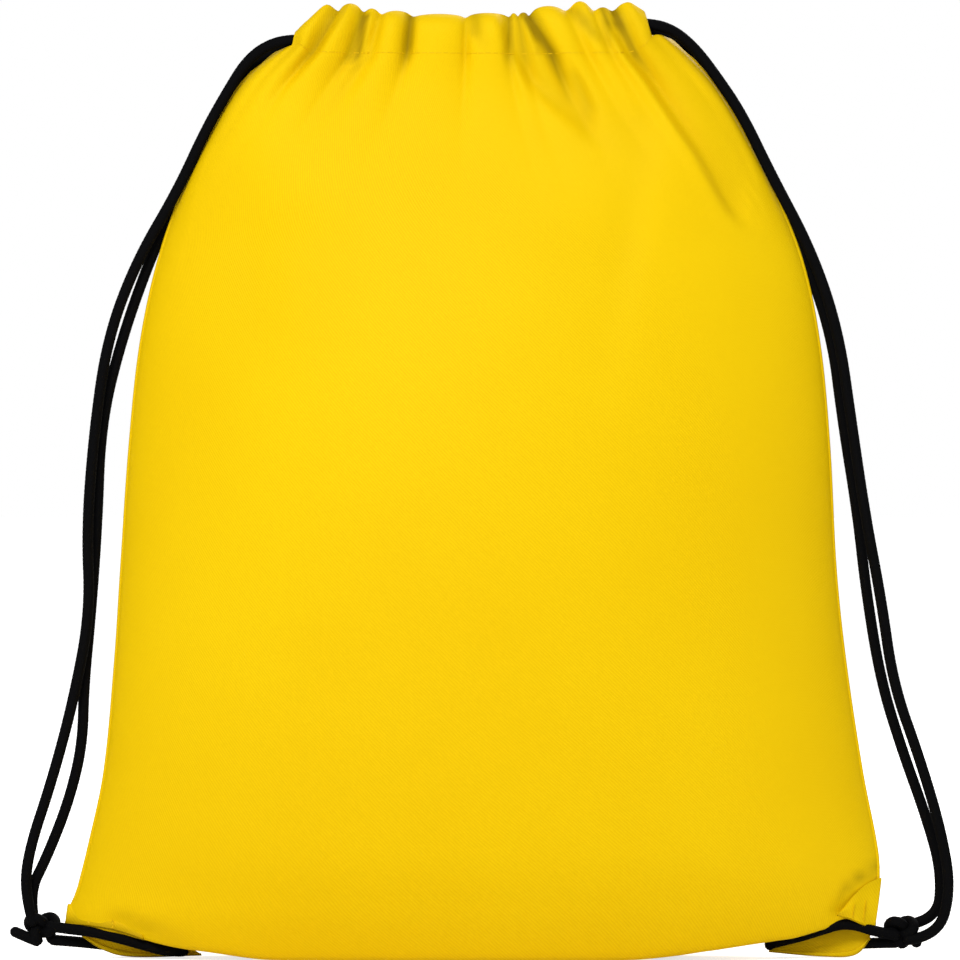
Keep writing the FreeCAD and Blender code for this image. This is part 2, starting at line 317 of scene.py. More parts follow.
LEFT_EXIT = [(-64, -11, 377.4), (-75, -11, 378)]
RIGHT_EXIT = [(64, -11, 384.2), (73, -11, 384.4)]


def other_face(points):
    return [(x, -y, z) for x, y, z in points]


STRAPS = {
    "left_strap_front": LEFT_EXIT + [
        (-85.5, -7, 375.2), (-93.5, -3.2, 368.8), (-100, -3, 358.5), (-110, -3, 341),
        (-121.5, -3, 316), (-138.5, -3, 287), (-150.5, -3, 255), (-156, -3, 216),
        (-159, -3, 176), (-157.5, -3, 143), (-164, -3, 108), (-173, -3, 74), (-183, -3, 44),
        (-184.5, -2.9, 26), (-180.5, -2.8, 13)],
    "left_strap_back": other_face(LEFT_EXIT) + [
        (-84, 7, 373.4), (-91.5, 3.2, 366.6), (-99, 3, 357), (-109.5, 3, 341),
        (-120.5, 3, 316), (-132.5, 3, 290), (-145, 3, 255), (-153.5, 3, 220), (-155, 3, 178),
        (-157.5, 3, 143), (-160.5, 3, 112), (-161, 3, 88), (-166.5, 3, 65), (-175.5, 3, 42),
        (-183.5, 2.9, 26), (-180.5, 2.8, 13)],
    "right_strap_front": RIGHT_EXIT + [
        (82.5, -7, 381.8), (91, -3.2, 375), (98.5, -3, 365.5), (110.5, -3, 348),
        (122.5, -3, 323), (139.5, -3, 291), (150.5, -3, 258), (156, -3, 219), (161.5, -3, 182),
        (168, -3, 148), (172.9, -3, 113), (184, -3, 82), (192.6, -3, 53), (196.8, -3, 28),
        (191, -3, 8.5), (177, -2.8, 7.6)],
    "right_strap_back": other_face(RIGHT_EXIT) + [
        (81, 7, 379.8), (89, 3.2, 372.6), (97.5, 3, 363.5), (109.5, 3, 346), (122, 3, 322),
        (136.5, 3, 290), (148, 3, 257), (152.5, 3, 221), (158.5, 3, 184), (162, 3, 152),
        (168, 3, 115), (176.5, 3, 87), (187, 3, 58), (193.4, 3, 35), (191.5, 3, 14.5),
        (177, 2.8, 13.5)],
}
for name, route in STRAPS.items():
    strap, line, length = braided_cord(name + "_strand", route)
    body = name.rsplit("_", 1)[0]
    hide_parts(name)
    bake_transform(strap)

# ---------------------------------------------------------------------------
# The cloth: plain yellow polyester, twill woven and lightly coated. Every
# panel, hem and tab is cut from it, so its weave follows each piece's own cut.

TWILL_PITCH = 1.25 * MM
YARN_PITCH = 0.42 * MM


def weave_group():
    """Twill ribs and yarn crossings from a flat-cut position, with a soft cloudy tone."""
    group = bpy.data.node_groups.new("twill_weave", "ShaderNodeTree")
    group.interface.new_socket("Cut Position", in_out="INPUT", socket_type="NodeSocketVector")
    group.interface.new_socket("Surface Position", in_out="INPUT", socket_type="NodeSocketVector")
    group.interface.new_socket("Height", in_out="OUTPUT", socket_type="NodeSocketFloat")
    group.interface.new_socket("Tone", in_out="OUTPUT", socket_type="NodeSocketFloat")
    ends = group.nodes.new("NodeGroupInput")
    result = group.nodes.new("NodeGroupOutput")
    parts = linked(group, "ShaderNodeSeparateXYZ", Vector=ends.outputs["Cut Position"])
    across, along = parts.outputs["X"], parts.outputs["Y"]
    slant = math_node(group, "ADD", across, math_node(group, "MULTIPLY", along, 0.8))
    wander = linked(group, "ShaderNodeTexNoise", values={"Scale": 90.0, "Detail": 2.0},
                    Vector=ends.outputs["Cut Position"]).outputs["Fac"]
    slant = math_node(group, "ADD", slant, math_node(group, "MULTIPLY", wander, 0.6 * MM))
    rib = math_node(group, "SINE", math_node(group, "MULTIPLY", slant, 2 * math.pi / TWILL_PITCH))
    warp = math_node(group, "SINE", math_node(group, "MULTIPLY", across, 2 * math.pi / YARN_PITCH))
    weft = math_node(group, "SINE", math_node(group, "MULTIPLY", along, 2 * math.pi / YARN_PITCH))
    yarns = math_node(group, "MULTIPLY", warp, weft)
    slub = linked(group, "ShaderNodeTexNoise", values={"Scale": 700.0, "Detail": 2.0},
                  Vector=ends.outputs["Cut Position"]).outputs["Fac"]
    height = weighted(group, (rib, 0.34), (yarns, 0.16), (slub, 0.5))
    cloud = linked(group, "ShaderNodeTexNoise", values={"Scale": 9.0, "Detail": 3.0},
                   Vector=ends.outputs["Surface Position"]).outputs["Fac"]
    tone = weighted(group, (height, 0.45), (cloud, 0.55))
    group.links.new(height, result.inputs["Height"])
    group.links.new(tone, result.inputs["Tone"])
    return group


TWILL_WEAVE = weave_group()


def cloth_material(name, shade, light, painted_crease_shade):
    material, tree, shader = new_material(name, 0.06)
    cut = linked(tree, "ShaderNodeUVMap", settings={"uv_map": "cut_uv"})
    place = tree.nodes.new("ShaderNodeTexCoord")
    weave = tree.nodes.new("ShaderNodeGroup")
    weave.node_tree = TWILL_WEAVE
    tree.links.new(cut.outputs["UV"], weave.inputs["Cut Position"])
    tree.links.new(place.outputs["Object"], weave.inputs["Surface Position"])
    dyed = toned(tree, weave.outputs["Tone"], shade, light, places=(0.25, 0.75))
    # Painted shade: where the cloth is folded tight, its colour is mixed towards a dark olive, as
    # far as the per-point shade attribute says.
    fold = linked(tree, "ShaderNodeAttribute", settings={"attribute_name": "painted_crease_shade"})
    painted_shade_mix = linked(tree, "ShaderNodeMix", settings={"data_type": "RGBA"},
                    i0=fold.outputs["Fac"], i6=dyed)
    painted_shade_mix.inputs[7].default_value = (*painted_crease_shade, 1.0)
    surface(tree, shader, painted_shade_mix.outputs[2], weave.outputs["Tone"], (0.5, 0.64),
            weave.outputs["Height"], 0.55, 0.00012)
    return material


# The last colour is the dark olive that the painted shade in the creases mixes towards.
YELLOW_CLOTH = cloth_material("yellow_twill_with_painted_shade", (0.86, 0.545, 0.0), (0.95, 0.655, 0.002),
                              (0.25, 0.155, 0.0))

# ---------------------------------------------------------------------------
# The gathers: the cords draw each 33 cm wide hem up to about 15 cm, so the
# cloth stands in uneven pleats. Front and back share the way they are listed.

HEM_FOOT = 371.0
CORD_CLEAR = 13.7           # cloth nearest the middle that still covers the cords
PLEAT_DEEP = 5.2
FULL_PLEAT = 13.0           # a pleat at least this wide stands out in full
HEM_LOW_TOP = 385.9         # height of the hem's edge in the bottom of a pleat

# Each pleat's edge as (x along the stitching, x along the top edge, how tightly it is
# pinched, 0 to 1), left to right, and how high the edge stands on the pleat after it.
FRONT_VALLEYS = [(-76, -73, 0.3), (-66, -55.5, 0.55), (-50, -45, 0.8), (-41, -38, 0.25),
                 (-26, -25, 0.8), (-3, -3, 0.3), (13.5, 15, 0.9), (19.5, 18.5, 0.5),
                 (31.5, 23, 0.8), (44, 39, 0.1), (53, 49, 0.2), (62, 57.5, 1.0), (76, 72, 0.2)]
FRONT_TOPS = [393.5, 392.5, 390.5, 389.5, 388.2, 388.6, 388.6, 388.8, 391.5, 393.5, 391, 393.2]
BACK_VALLEYS = [(-76, -72, 0.3), (-60, -56, 0.8), (-45, -43, 0.4), (-31, -30, 0.9),
                (-17, -17, 0.4), (-2, -2, 0.6), (9, 9, 0.8), (25, 23, 0.9), (37, 34, 0.4),
                (54, 51, 0.8), (64, 60, 0.5), (76, 72, 0.3)]
BACK_TOPS = [388, 390, 388.5, 386, 385.5, 386.5, 388, 389.5, 390, 388, 387.5]
GATHERS = {"front": (FRONT_VALLEYS, FRONT_TOPS), "back": (BACK_VALLEYS, BACK_TOPS)}


def pleat(face, x):
    """How far out the cloth is, 0 in a valley and 1 on a crown, its top edge and its x there."""
    valleys, tops = GATHERS[face]
    feet = [valley[0] for valley in valleys]
    x = min(max(x, feet[0] + 0.01), feet[-1] - 0.01)
    i = int(np.searchsorted(feet, x)) - 1
    wide = feet[i + 1] - feet[i]
    t = (x - feet[i]) / wide
    crown = math.sin(math.pi * t)
    share = crown ** 0.6 * min(1.0, wide / FULL_PLEAT) ** 0.5
    top = HEM_LOW_TOP + (tops[i] - HEM_LOW_TOP) * crown ** 0.35
    return share, top, valleys[i][1] + (valleys[i + 1][1] - valleys[i][1]) * t


# ---------------------------------------------------------------------------
# The panels: two cuts, 33 cm wide, sewn up both sides and along the bottom.
# Each is relaxed by cloth simulation over the fill, with its hem and seams held.

COLUMNS = 112
ROWS = 96
BASE_ROWS = 8
CUT_WIDE = 334.0
CUT_LONG = 402.0            # from the bottom seam to the stitching of the hem
# Heights with the half width of the bag to its left and right, and its half depth.
BAG_LEVELS = [
    (0, 161, 157, 27), (18, 167.6, 163.8, 37), (26, 163.6, 165.9, 40.5),
    (33, 161.6, 167.2, 43.5), (45, 158.6, 166.5, 47),
    (76, 152, 160.5, 51), (122, 147.5, 153.5, 54), (160, 145, 149.5, 55),
    (211, 141.5, 146.8, 53), (253, 137, 142.8, 47), (288, 129.5, 135.5, 38.5),
    (319, 118.5, 122.8, 29), (345, 105, 109, 21.5), (354, 99.8, 103.6, 19),
    (362, 94, 98, 17), (371, 84.6, 90, 15.5), (380, 74, 81, 14.2),
]
# The bottom seam is lifted at the corners, where the cords go through.
SEAM_LIFTS = [(-170, 14.6), (-158, 14.2), (-145, 12.0), (-127, 6.0), (-104, 2.4), (-82, 0.0),
              (60, 0.0), (82, 1.6), (102, 4.6), (120, 7.4), (132, 10.0), (142, 13.8), (149, 17.8),
              (155, 20.8), (170, 18.0)]
# The height of the rim along the hem's stitching: it climbs at the two ends.
RIM_HEIGHTS = [(-84, 373), (-76, 375.2), (-68, 372.4), (-58, 371), (58, 371), (67, 374),
               (76, 379.4), (84, 378.6)]
RIM_HALF = 83.5             # half the length of the gathered rim
GATHER_FADE = 26.0          # how far below the rim the pleats die out
BUNCH_FROM = 290.0          # height above which the bag narrows to the hem's flat slot
CLIMB_FROM = 322.0          # height above which the climb of the rim's ends is shared out
END_SHARE = 0.065           # share of the rim at each end over which the two hems close
SIDE_CROWDING = math.pi / 2 * 0.9
LIFT_REACH = 40.0           # how far up the lift of the bottom seam is felt


def smooth_between(value, heights, values):
    """Catmull-Rom through listed levels."""
    i = int(np.clip(np.searchsorted(heights, value) - 1, 0, len(heights) - 2))
    t = (value - heights[i]) / (heights[i + 1] - heights[i])
    before = values[max(i - 1, 0)]
    after = values[min(i + 2, len(values) - 1)]
    wide = heights[i + 1] - heights[i]
    slope_a = (values[i + 1] - before) / (heights[i + 1] - heights[max(i - 1, 0)]) * wide
    slope_b = (after - values[i]) / (heights[min(i + 2, len(values) - 1)] - heights[i]) * wide
    return ((2 * t ** 3 - 3 * t ** 2 + 1) * values[i] + (t ** 3 - 2 * t ** 2 + t) * slope_a
            + (3 * t ** 2 - 2 * t ** 3) * values[i + 1] + (t ** 3 - t ** 2) * slope_b)


def bag_level(height):
    heights = [level[0] for level in BAG_LEVELS]
    return [smooth_between(height, heights, [level[k] for level in BAG_LEVELS])
            for k in (1, 2, 3)]


def ease(value, start, end):
    t = min(max((value - start) / (end - start), 0.0), 1.0)
    return t * t * (3 - 2 * t)


def listed(levels, value):
    """The value of a short list of (place, value), joined by a smooth curve."""
    places = [level[0] for level in levels]
    return smooth_between(min(max(value, places[0]), places[-1]), places,
                          [level[1] for level in levels])


# Folds, each from its top down: its line of (x, height), its depth, the side its
# valley lies on (1 right, -1 left), how far the valley takes to come out again, and
# how wide its edge is. Most run down from the gathers and fan out over the shoulders.
FRONT_FOLDS = [
    ([(-53, 389), (-59.5, 379), (-64, 372), (-70, 365), (-80, 355)], 4.2, -1, 7, 2.6),
    ([(-43, 386), (-45.5, 372), (-46, 366)], 2.6, -1, 3, 2.2),
    ([(-37.5, 385), (-41.5, 374), (-47, 363), (-55, 350), (-66, 336)], 3.0, -1, 9, 4.5),
    ([(-24.5, 388), (-25.8, 375), (-28, 366)], 3.2, -1, 4, 2.4),
    ([(-1.5, 388), (-1, 380), (2, 375)], 1.8, 1, 5, 4.0),
    ([(11.5, 386), (15, 375), (20, 364), (30, 352), (42.5, 342), (50, 335)], 4.4, 1, 11, 3.0),
    ([(44, 362), (49.5, 350), (48, 337)], 2.6, -1, 7, 3.0),
    ([(20.5, 386), (23.5, 381), (26, 374)], 2.6, 1, 3, 2.2),
    ([(24.7, 388), (27.8, 381), (32, 373.5), (37.3, 362), (40, 354)], 5.2, -1, 3.4, 2.2),
    ([(36, 391), (42.5, 386.5), (48.5, 379), (56, 374)], 2.6, 1, 5, 2.6),
    ([(51.9, 390), (54, 383), (55, 378)], 2.6, 1, 3, 2.2),
    ([(56.5, 390), (57.5, 385), (59, 380)], 4.0, 1, 3.4, 2.0),
    ([(57, 380), (63.5, 369.5), (71, 361), (83, 342.5), (91, 331.5), (103.7, 308.5),
      (107, 304.5), (112, 302), (126, 306)], 4.6, 1, 17, 2.8),
    ([(76, 345), (73, 322), (66, 284), (56, 225)], 1.7, -1, 26, 16),
    ([(-92, 330), (-84, 290), (-78, 240)], 1.0, -1, 26, 18),
    ([(169, 39), (160, 36.5), (153, 31), (147, 22)], 2.4, 1, 4, 2.6),
    ([(-164, 21), (-150, 20), (-136, 15.5), (-116, 8.5)], 4.4, -1, 12, 4.6),
]
BACK_FOLDS = [
    ([(-52, 388), (-58, 376), (-70, 358), (-86, 338)], 4.2, -1, 8, 3.0),
    ([(-30, 386), (-33, 372), (-40, 352), (-52, 330)], 3.4, -1, 9, 3.6),
    ([(-2, 386), (-6, 366), (-14, 346)], 3.0, 1, 8, 3.0),
    ([(24, 388), (31, 372), (44, 352), (60, 334)], 4.2, 1, 10, 3.0),
    ([(52, 389), (60, 373), (78, 350), (98, 326)], 4.2, 1, 11, 3.0),
    ([(9, 388), (10, 376), (11, 366)], 3.0, -1, 3.4, 2.4),
    ([(-66, 384), (-76, 368), (-92, 346)], 3.0, -1, 7, 3.0),
    ([(52, 320), (58, 280), (56, 236)], 1.5, -1, 24, 16),
    ([(-62, 320), (-70, 280), (-66, 240)], 1.4, 1, 24, 16),
    ([(-168, 36), (-158, 30), (-148, 20)], 2.0, 1, 9, 3.0),
]
FOLDS = {"front": FRONT_FOLDS, "back": BACK_FOLDS}
DEEPEST_FOLD = 6.0          # where folds overlap, together they go no deeper than this
WIDE_REACH = 8.0            # a fold whose valley is this wide gets no painted shade for being pinched
CREST = 0.16                # height of the swell beside a fold, as a share of its depth
FOLD_TAIL = 6.0             # how far a fold runs on past either end of its line
FOLD_FADE = 0.75            # how much of its depth it has lost by the foot of the line
PINCH_HALF = 1.9            # half width of the tight cloth in a valley of the hem


def fold_depth(x, z, folds):
    """How far the folds push the cloth in at each of many places, and how tight they are."""
    total = np.zeros(len(x))
    pinched = np.zeros(len(x))
    for line, deep, valley, reach, edge in folds:
        nearest = np.full(len(x), np.inf)
        signed = np.zeros(len(x))
        beyond = np.zeros(len(x))
        along = np.zeros(len(x))
        last = len(line) - 2
        for i, ((x0, z0), (x1, z1)) in enumerate(zip(line, line[1:])):
            dx, dz = x1 - x0, z1 - z0
            long = math.hypot(dx, dz)
            t = ((x - x0) * dx + (z - z0) * dz) / long ** 2
            held = np.clip(t, 0.0, 1.0)
            off_x, off_z = x - x0 - held * dx, z - z0 - held * dz
            gap = np.hypot(off_x, off_z)
            over = np.where((t < 0) & (i == 0), -t * long,
                            np.where((t > 1) & (i == last), (t - 1) * long, 0.0))
            closer = gap < nearest
            nearest = np.where(closer, gap, nearest)
            signed = np.where(closer, gap * np.sign(off_z * dx - off_x * dz), signed)
            beyond = np.where(closer, over, beyond)
            along = np.where(closer, (i + held) / (last + 1), along)
        into = valley * signed
        rise = np.clip(into / edge + 0.5, 0.0, 1.0)
        rise = rise * rise * (3 - 2 * rise)
        depth = deep * rise * np.exp(-np.maximum(into - edge / 2, 0.0) / reach)
        crest = CREST * deep * np.exp(-((into + edge) / (1.3 * edge)) ** 2)
        fade = np.clip((along - 0.5) / 0.5, 0.0, 1.0)
        fade = 1 - FOLD_FADE * fade * fade * (3 - 2 * fade)
        fade = fade * np.exp(-(beyond / FOLD_TAIL) ** 2)
        total += (depth - crest) * fade
        narrow = max(0.0, 1.0 - reach / WIDE_REACH)
        pinched += narrow * np.exp(-((into - 0.6 * edge) / (0.5 * reach)) ** 2) * fade
    return DEEPEST_FOLD * np.tanh(total / DEEPEST_FOLD), pinched


def valley_tightness(face, s):
    """How tightly the hem is pinched at a share of the way along it."""
    return max(tight * math.exp(-((s * RIM_HALF - foot) / PINCH_HALF) ** 2)
               for foot, _, tight in GATHERS[face][0])


# Painted shade: how much a deep fold, a pinched fold and a tight valley of the hem each
# darken the cloth's colour, and the most that they do together.
DEEP_FOLD_PAINTED_SHADE, PINCH_PAINTED_SHADE, HEM_VALLEY_PAINTED_SHADE, DARKEST_PAINTED_SHADE = 0.30, 0.95, 0.62, 0.88


def painted_shade_amount(depth, pinched, tight):
    """The painted shade of the cloth, from its folds' depth and how tightly it is pinched."""
    soft = DEEP_FOLD_PAINTED_SHADE * (np.maximum(depth, 0.0) / DEEPEST_FOLD) ** 1.5
    return np.clip(soft + PINCH_PAINTED_SHADE * pinched + HEM_VALLEY_PAINTED_SHADE * tight, 0.0, DARKEST_PAINTED_SHADE)


def rim_point(face, s):
    """The point of the stitching line at a share of the way along it, and its pleat."""
    rim_x = s * RIM_HALF
    height = listed(RIM_HEIGHTS, rim_x)
    left, right, _ = bag_level(height)
    share, top, top_x = pleat(face, rim_x)
    return s * (right if s > 0 else left), CORD_CLEAR + PLEAT_DEEP * share, height, top, top_x


def panel_point(face, column, row):
    """Where a point of the cut lies on the filled bag, before it is relaxed."""
    side = -1 if face == "front" else 1
    s = 2.0 * column / COLUMNS - 1.0
    on_base = row < BASE_ROWS
    height = 0.0 if on_base else HEM_FOOT * (row - BASE_ROWS) / (ROWS - BASE_ROWS)
    rim_x, rim_y, rim_z, _, _ = rim_point(face, s)
    height += (rim_z - HEM_FOOT) * ease(height, CLIMB_FROM, HEM_FOOT)
    left, right, deep = bag_level(height)
    bunch = ease(height, BUNCH_FROM, HEM_FOOT)
    # The columns crowd towards the sides, where the cloth curves most.
    spread = math.sin(SIDE_CROWDING * s) / math.sin(SIDE_CROWDING)
    spread = spread * (1 - bunch) + s * bunch
    x = spread * (right if s > 0 else left)
    squareness = 2.0 + 5.0 * bunch
    bow = max(1.0 - abs(spread) ** squareness, 0.0) ** (0.82 * (1 - bunch) + 0.5 * bunch)
    y = deep * bow
    fade = math.exp(-max(rim_z - height, 0.0) / GATHER_FADE)
    inside_hem = ease(1.0 - abs(s), 0.0, END_SHARE)
    if row == ROWS:
        x, y = rim_x, rim_y * inside_hem
    else:
        y = y * (1 - inside_hem * bunch * fade) + rim_y * inside_hem * bunch * fade
    if on_base:
        y *= row / BASE_ROWS
    z = max(height, 0.6 + listed(SEAM_LIFTS, x) * max(1.0 - height / LIFT_REACH, 0.0))
    return (x * MM, side * max(y, 0.0) * MM, z * MM)


SETTLE_FRAMES = 30


def relaxed(mesh_object, held, swell):
    """The mesh after its cloth has been let settle round the fill."""
    for name, weights in (("held", held), ("loose", swell)):
        group = mesh_object.vertex_groups.new(name=name)
        for weight in np.unique(weights):
            members = np.flatnonzero(weights == weight).tolist()
            group.add(members, float(weight), "REPLACE")
    cloth = mesh_object.modifiers.new("cloth", "CLOTH")
    settings = cloth.settings
    settings.quality = 6
    settings.mass = 0.0002
    settings.tension_stiffness = 30.0
    settings.compression_stiffness = 30.0
    settings.shear_stiffness = 8.0
    settings.bending_stiffness = 0.25
    settings.vertex_group_mass = "held"
    settings.pin_stiffness = 1.0
    settings.vertex_group_shrink = "loose"
    settings.shrink_min = 0.0
    settings.shrink_max = -0.05
    settings.use_pressure = True
    settings.uniform_pressure_force = 0.6
    settings.effector_weights.gravity = 0.0
    cloth.collision_settings.use_collision = False
    cloth.point_cache.frame_start = 1
    cloth.point_cache.frame_end = SETTLE_FRAMES
    for step in range(1, SETTLE_FRAMES + 1):
        scene.frame_set(step)
    settled = bpy.data.meshes.new_from_object(
        mesh_object.evaluated_get(bpy.context.evaluated_depsgraph_get()))
    places = np.array([v.co for v in settled.vertices])
    bpy.data.meshes.remove(settled)
    mesh_object.modifiers.clear()
    mesh_object.vertex_groups.clear()
    scene.frame_set(1)
    return places


LARGEST_MOVE = 9.0 * MM     # no point settles further than this from where it was drawn
CLOTH_THICK = 0.5 * MM
# No fold is pressed in nearer the middle than the first, and over the second it comes in full.
THIN_EDGE = (3.0, 12.0)
CORD_GAP = 0.2              # least room between the cloth and the cords in the hem
# Below this height, over this distance, the cloth may come in this much further.
CORD_SLACK = (372.0, 26.0, 5.5)
TIGHT_BELOW = 5.0           # how far below the hem the painted shade of its tight valleys still reaches


def sewn_panels():
    """Front and back as one sewn bag: grid rows of each, sharing seams, and the painted shade of
    each point.
    """
    index = {}
    start = []
    cut = []
    held = []
    swell = []
    for face in ("front", "back"):
        for row in range(ROWS + 1):
            for column in range(COLUMNS + 1):
                on_seam = column in (0, COLUMNS) or row == 0
                if face == "back" and on_seam:
                    index[face, row, column] = index["front", row, column]
                    continue
                index[face, row, column] = len(start)
                start.append(panel_point(face, column, row))
                edge = min(column, COLUMNS - column)
                if row == ROWS or row == 0:
                    hold = 1.0
                elif on_seam:
                    hold = 0.6
                elif row <= BASE_ROWS:
                    hold = 0.3
                else:
                    hold = round(0.04 + 0.3 * ease(row / ROWS, 0.70, 0.9), 2)
                held.append(hold)
                top = ease(row / ROWS, 0.72, 0.95)
                low = 1 - ease(row / ROWS, 0.08, 0.30)
                rim = 1 - ease(edge, 2, 16)
                swell.append(round(0.22 + 0.5 * top + 0.22 * low + 0.25 * rim, 1))
    faces = []
    for face in ("front", "back"):
        for row in range(ROWS):
            for column in range(COLUMNS):
                corners = [index[face, row, column], index[face, row, column + 1],
                           index[face, row + 1, column + 1], index[face, row + 1, column]]
                if face == "back":
                    corners.reverse()
                faces.append(corners)
    mesh = bpy.data.meshes.new("sewn_bag")
    mesh.from_pydata(start, [], faces)
    sewn = bpy.data.objects.new("sewn_bag", mesh)
    scene.collection.objects.link(sewn)
    start = np.array(start)
    places = relaxed(sewn, np.array(held), np.array(swell))
    move = places - start
    far = np.linalg.norm(move, axis=1)
    share = np.minimum(1.0, LARGEST_MOVE / np.maximum(far, 1e-9))
    places = start + move * share[:, None]
    print("cloth moved", round(float(far.max()) / MM, 1), "mm at most,",
          round(float(far.mean()) / MM, 2), "on average")
    bpy.data.objects.remove(sewn)
    bpy.data.meshes.remove(mesh)
    painted_shades = np.zeros(len(places))
    for face in ("front", "back"):
        side = -1 if face == "front" else 1
        members = np.array([index[face, row, column] for row in range(BASE_ROWS, ROWS + 1)
                            for column in range(1, COLUMNS)])
        tight = np.array([valley_tightness(face, 2.0 * column / COLUMNS - 1.0)
                          for row in range(BASE_ROWS, ROWS + 1) for column in range(1, COLUMNS)])
        x, y, z = (places[members] / MM).T
        room = np.clip((np.abs(y) - THIN_EDGE[0]) / THIN_EDGE[1], 0.0, 1.0)
        depth, pinched = fold_depth(x, z, FOLDS[face])
        pushed = np.abs(y) - room * depth
        low = np.clip((CORD_SLACK[0] - z) / CORD_SLACK[1], 0.0, 1.0)
        cords = CORD_CLEAR - CORD_GAP - CORD_SLACK[2] * low * low * (3 - 2 * low)
        places[members, 1] = side * np.maximum(pushed, np.minimum(np.abs(y), cords)) * MM
        # Painted shade: darker where the folds are deep or pinched and in the hem's tight valleys.
        painted_shades[members] = painted_shade_amount(room * depth, pinched,
                                        tight * np.exp(np.minimum(z - HEM_FOOT, 0.0)
                                                       / TIGHT_BELOW))
    places[:, 2] = np.maximum(places[:, 2], 0.5 * MM)
    return index, places, painted_shades


def mark_cut(mesh, cuts):
    """Each point's place on the flat cut, as the mesh's UV map."""
    uv = mesh.uv_layers.new(name="cut_uv")
    for loop in mesh.loops:
        uv.data[loop.index].uv = cuts[loop.vertex_index]


def cloth_piece(name, points, faces, cuts, painted_shades=()):
    """A sheet of cloth with its cut as UV, a real thickness and smooth faces, and any painted shade
    as a point attribute.
    """
    piece = mesh_piece(name, points, faces, YELLOW_CLOTH)
    mark_cut(piece.data, cuts)
    if painted_shades:
        # The painted shade goes on as a point attribute that the cloth's material reads.
        painted_crease_shade = piece.data.attributes.new("painted_crease_shade", "FLOAT", "POINT")
        painted_crease_shade.data.foreach_set("value", painted_shades)
    smooth = piece.modifiers.new("smooth", "SUBSURF")
    smooth.levels = 1
    smooth.render_levels = 1
    wall = piece.modifiers.new("thickness", "SOLIDIFY")
    wall.thickness = CLOTH_THICK
    wall.offset = -1.0
    return piece


panel_index, panel_places, panel_painted_shades = sewn_panels()
HEM_SHOULDER = 380.0        # height where the hem starts to turn over
CORDS_TOP = 386.8           # above this no cord keeps the folds from going deeper
INNER_LAYER = 8.0           # how far out the turned layer is where the outer one is lowest,
INNER_RISE = 3.6            # and how much nearer the middle it is under a full pleat
HEM_SPAN = (-79.0, 75.5)    # how far the hem reaches along the rim
HEM_SHARES = [2.0 * column / COLUMNS - 1.0 for column in range(COLUMNS + 1)]
HEM_COLUMNS = [column for column, s in enumerate(HEM_SHARES)
               if HEM_SPAN[0] <= s * RIM_HALF <= HEM_SPAN[1]]
# The open end of the tunnel is cut on a slope on the left and square on the right.
END_SLOPES = {"front": ((-77, 377), (-59, 394), (63, 394), (74, 387)),
              "back": ((-77, 379), (-66, 390), (66, 390), (77, 379))}


def hem_section(face, s):
    """The hem's cross section at one place along it, from outer foot to inner foot, and the painted
    shade of its outer layer.
    """
    side = -1 if face == "front" else 1
    foot_x, outer, foot_z, top, top_x = rim_point(face, s)
    (lx0, lz0), (lx1, lz1), (rx0, rz0), (rx1, rz1) = END_SLOPES[face]
    top = min(top, lz0 + (lz1 - lz0) * (top_x - lx0) / (lx1 - lx0),
              rz0 + (rz1 - rz0) * (top_x - rx0) / (rx1 - rx0))
    inner = INNER_LAYER - INNER_RISE * (outer - CORD_CLEAR) / PLEAT_DEEP
    shoulder = min(HEM_SHOULDER, top - 2.0)
    middle, half = (outer + inner) / 2, (outer - inner) / 2
    line = [(outer, foot_z + (shoulder - foot_z) * k / 4) for k in range(4)]
    for k in range(9):
        turn = math.pi * k / 8
        line.append((middle + half * math.cos(turn),
                     shoulder + (top - shoulder) * math.sin(turn)))
    line += [(inner, (374.2 + shoulder) / 2), (inner + 0.8, 374.0), (outer - 1.4, 372.2)]
    points = []
    for y, z in line:
        up = min(max((z - foot_z) / (top - foot_z), 0.0), 1.0)
        points.append((foot_x + (top_x - foot_x) * up, y, z))
    points = np.array(points)
    # The folds run on through the outer layer, as far as the cords inside let them.
    depth, pinched = fold_depth(points[:8, 0], points[:8, 2], FOLDS[face])
    held = np.where(points[:8, 2] < CORDS_TOP, np.minimum(points[:8, 1], CORD_CLEAR - CORD_GAP),
                    points[:8, 1] - 2.0)
    points[:8, 1] = np.maximum(points[:8, 1] - depth, held)
    # The inner layer's foot lies against the outer layer, however deep its folds are.
    points[-1, 1] = points[0, 1] - 1.5
    points[-2, 1] = min(points[-2, 1], points[0, 1] - 2.5)
    points[:, 1] *= side
    # Painted shade of the outer layer, from its folds and the hem's tight valleys.
    painted_shades = painted_shade_amount(depth, pinched, valley_tightness(face, s))
    return points * MM, [float(value) for value in painted_shades]


